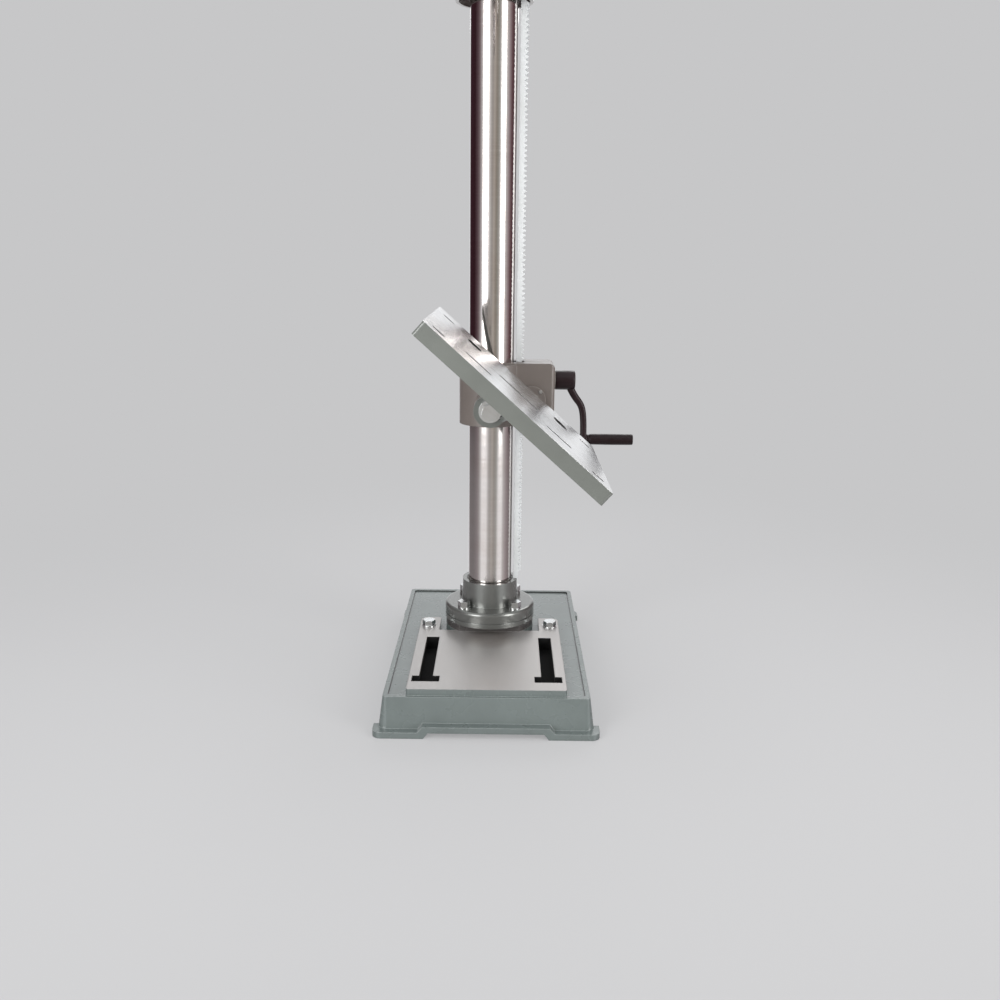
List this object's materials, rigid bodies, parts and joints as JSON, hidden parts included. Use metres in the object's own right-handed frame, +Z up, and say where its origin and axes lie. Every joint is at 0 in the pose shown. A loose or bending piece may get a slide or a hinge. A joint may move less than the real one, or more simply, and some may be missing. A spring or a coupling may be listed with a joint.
{
  "type": "radial drill press",
  "caption": "Floor drill press: slotted base, round column with rack, crank-lifted tilting slotted table, and a belt-driven drill head on a swinging, sliding ram.",
  "frame": {"origin": "on the floor at the middle of the base's footprint", "axes": "+Z up along the column, +X to the operator's right, the front faces -Y"},
  "size_m": [0.5098, 0.857, 1.8013],
  "materials": {
    "base_paint": "gloss",
    "cast_steel": "satin",
    "ground_steel": "polished",
    "bright_steel": "satin",
    "zinc": "satin",
    "table_iron": "ground",
    "bracket_paint": "satin",
    "black_paint": "gloss",
    "black_plastic": "gloss",
    "black_steel": "satin",
    "belt_rubber": "matt",
    "green_plastic": "gloss",
    "red_plastic": "gloss",
    "pulley_metal": "machined"
  },
  "bodies": {
    "frame": {"base_casting": "base_paint", "base_bolts": "zinc", "column_flange": "base_paint", "flange_bolts": "zinc", "set_screws": "black_steel", "column_tube": "ground_steel", "rack_ring": "cast_steel"},
    "rack": {"column_rack": "bright_steel"},
    "bracket": {"table_bracket": "bracket_paint", "bracket_lock_bolt": "zinc", "gear_covers": "bracket_paint", "cover_screws": "zinc", "tilt_bolt": "zinc"},
    "lock_lever": {"bracket_lock_lever": "black_paint"},
    "pinion": {"pinion_shaft": "black_steel", "worm_wheel": "black_steel"},
    "crank": {"worm_shaft": "black_steel", "crank_arm": "black_paint", "crank_stud": "black_steel"},
    "grip": {"crank_grip": "black_plastic"},
    "table": {"table": "table_iron"},
    "turret": {"turret": "base_paint"},
    "turret_lock": {"turret_lock": "black_paint"},
    "ram": {"ram": "ground_steel"},
    "ram_lock": {"ram_lock": "black_paint"},
    "ram_drive": {"ram_pinion_shaft": "black_steel", "ram_handwheel": "black_paint"},
    "head": {"head_casting": "base_paint", "head_bolts": "zinc", "sleeve_bearing": "black_steel", "motor": "black_paint", "motor_fan_cover": "black_plastic", "motor_plate": "black_paint", "drive_belt": "belt_rubber", "guard_pan": "black_paint", "guard_hinge": "zinc", "spring_case": "black_paint", "switch_box": "black_plastic"},
    "quill": {"quill": "ground_steel", "quill_bearings": "black_steel", "stop_collar": "cast_steel", "stop_rod": "bright_steel"},
    "stop_nut": {"stop_nut": "black_steel"},
    "feed": {"feed_shaft": "ground_steel", "feed_hub": "black_paint", "feed_arms": "bright_steel", "feed_knobs": "black_plastic"},
    "spindle": {"spindle": "ground_steel", "chuck_body": "ground_steel"},
    "chuck_sleeve": {"chuck_sleeve": "bright_steel"},
    "jaw_1": {"chuck_jaw_1": "black_steel"},
    "jaw_2": {"chuck_jaw_2": "black_steel"},
    "jaw_3": {"chuck_jaw_3": "black_steel"},
    "pulley": {"spindle_pulley": "pulley_metal", "drive_sleeve": "ground_steel"},
    "motor_drive": {"motor_pulley": "pulley_metal"},
    "guard": {"guard_cover": "base_paint", "guard_knob": "black_plastic"},
    "start_button": {"start_button": "green_plastic"},
    "stop_button": {"stop_button": "red_plastic"}
  },
  "joints": [
    {"name": "table_swing", "type": "hinge", "parent": "frame", "child": "rack", "pos_m": [0, 0.065, 0.6], "axis": [0, 0, 1], "continuous": true},
    {"name": "table_lift", "type": "slide", "parent": "rack", "child": "bracket", "axis": [0, 0, 1], "range_m": [-0.28, 0.38]},
    {"name": "pinion_turn", "type": "hinge", "parent": "bracket", "child": "pinion", "pos_m": [0.0815, 0.065, 0.575], "axis": [0, 1, 0], "continuous": true},
    {"name": "crank_turn", "type": "hinge", "parent": "bracket", "child": "crank", "pos_m": [0.13, 0.093, 0.609], "axis": [1, 0, 0], "continuous": true},
    {"name": "grip_spin", "type": "hinge", "parent": "crank", "child": "grip", "pos_m": [0.25, 0.093, 0.484], "axis": [1, 0, 0], "continuous": true},
    {"name": "lock_lever_turn", "type": "hinge", "parent": "bracket", "child": "lock_lever", "pos_m": [0.0303, 0.147, 0.57], "axis": [1, 0, 0], "range_deg": [-40, 40]},
    {"name": "table_tilt", "type": "hinge", "parent": "bracket", "child": "table", "pos_m": [0, -0.095, 0.5726], "axis": [0, 1, 0], "range_deg": [-86.8, 3.2]},
    {"name": "arm_swing", "type": "hinge", "parent": "frame", "child": "turret", "pos_m": [0, 0.065, 1.47], "axis": [0, 0, 1], "continuous": true},
    {"name": "turret_lock_turn", "type": "hinge", "parent": "turret", "child": "turret_lock", "pos_m": [-0.08, 0.065, 1.425], "axis": [1, 0, 0], "range_deg": [-50, 50]},
    {"name": "ram_slide", "type": "slide", "parent": "turret", "child": "ram", "axis": [0, -1, 0], "range_m": [0, 0.25]},
    {"name": "ram_wheel_turn", "type": "hinge", "parent": "turret", "child": "ram_drive", "pos_m": [0.07, 0.065, 1.5785], "axis": [1, 0, 0], "range_deg": [-956, 1]},
    {"name": "ram_lock_turn", "type": "hinge", "parent": "turret", "child": "ram_lock", "pos_m": [-0.07, 0.09, 1.53], "axis": [1, 0, 0], "range_deg": [-50, 50]},
    {"name": "head_tilt", "type": "hinge", "parent": "ram", "child": "head", "pos_m": [0, -0.185, 1.53], "axis": [0, 1, 0], "range_deg": [-45, 90]},
    {"name": "quill_feed", "type": "slide", "parent": "head", "child": "quill", "axis": [0, 0, -1], "range_m": [0, 0.08], "stiffness_N_per_m": 1500, "springref_m": -0.08},
    {"name": "feed_turn", "type": "hinge", "parent": "head", "child": "feed", "pos_m": [0.07, -0.217, 1.44], "axis": [1, 0, 0], "range_deg": [-1, 354]},
    {"name": "depth_nut_set", "type": "slide", "parent": "quill", "child": "stop_nut", "axis": [0, 0, 1], "range_m": [0, 0.03]},
    {"name": "pulley_spin", "type": "hinge", "parent": "head", "child": "pulley", "pos_m": [0, -0.255, 1.75], "axis": [0, 0, 1], "continuous": true},
    {"name": "spindle_spin", "type": "hinge", "parent": "quill", "child": "spindle", "pos_m": [0, -0.255, 1.5], "axis": [0, 0, 1], "continuous": true},
    {"name": "motor_spin", "type": "hinge", "parent": "head", "child": "motor_drive", "pos_m": [0, -0.085, 1.75], "axis": [0, 0, 1], "continuous": true},
    {"name": "chuck_sleeve_turn", "type": "hinge", "parent": "spindle", "child": "chuck_sleeve", "pos_m": [0, -0.255, 1.327], "axis": [0, 0, 1], "range_deg": [-688, 402]},
    {"name": "jaw_1_slide", "type": "slide", "parent": "spindle", "child": "jaw_1", "axis": [-0.2079, 0, -0.9781], "range_m": [-0.01205, 0.00705]},
    {"name": "jaw_2_slide", "type": "slide", "parent": "spindle", "child": "jaw_2", "axis": [0.104, -0.1801, -0.9781], "range_m": [-0.01205, 0.00705]},
    {"name": "jaw_3_slide", "type": "slide", "parent": "spindle", "child": "jaw_3", "axis": [0.104, 0.1801, -0.9781], "range_m": [-0.01205, 0.00705]},
    {"name": "guard_open", "type": "hinge", "parent": "head", "child": "guard", "pos_m": [-0.0993, -0.174, 1.7245], "axis": [0, 1, 0], "range_deg": [-100, 0]},
    {"name": "start_press", "type": "slide", "parent": "head", "child": "start_button", "axis": [0, 1, 0], "range_m": [0, 0.003], "stiffness_N_per_m": 500, "springref_m": -0.001},
    {"name": "stop_press", "type": "slide", "parent": "head", "child": "stop_button", "axis": [0, 1, 0], "range_m": [0, 0.003], "stiffness_N_per_m": 500, "springref_m": -0.001}
  ],
  "couplings": [
    {"joint": "pinion_turn", "follows": "table_lift", "rad_per_m": -55.556},
    {"joint": "crank_turn", "follows": "table_lift", "rad_per_m": 1111.1},
    {"joint": "ram_wheel_turn", "follows": "ram_slide", "rad_per_m": -66.667},
    {"joint": "feed_turn", "follows": "quill_feed", "rad_per_m": 76.923},
    {"joint": "spindle_spin", "follows": "pulley_spin", "ratio": 1},
    {"joint": "motor_spin", "follows": "pulley_spin", "ratio": 1.2649},
    {"joint": "jaw_1_slide", "follows": "chuck_sleeve_turn", "m_per_rad": 0.001},
    {"joint": "jaw_2_slide", "follows": "chuck_sleeve_turn", "m_per_rad": 0.001},
    {"joint": "jaw_3_slide", "follows": "chuck_sleeve_turn", "m_per_rad": 0.001}
  ]
}
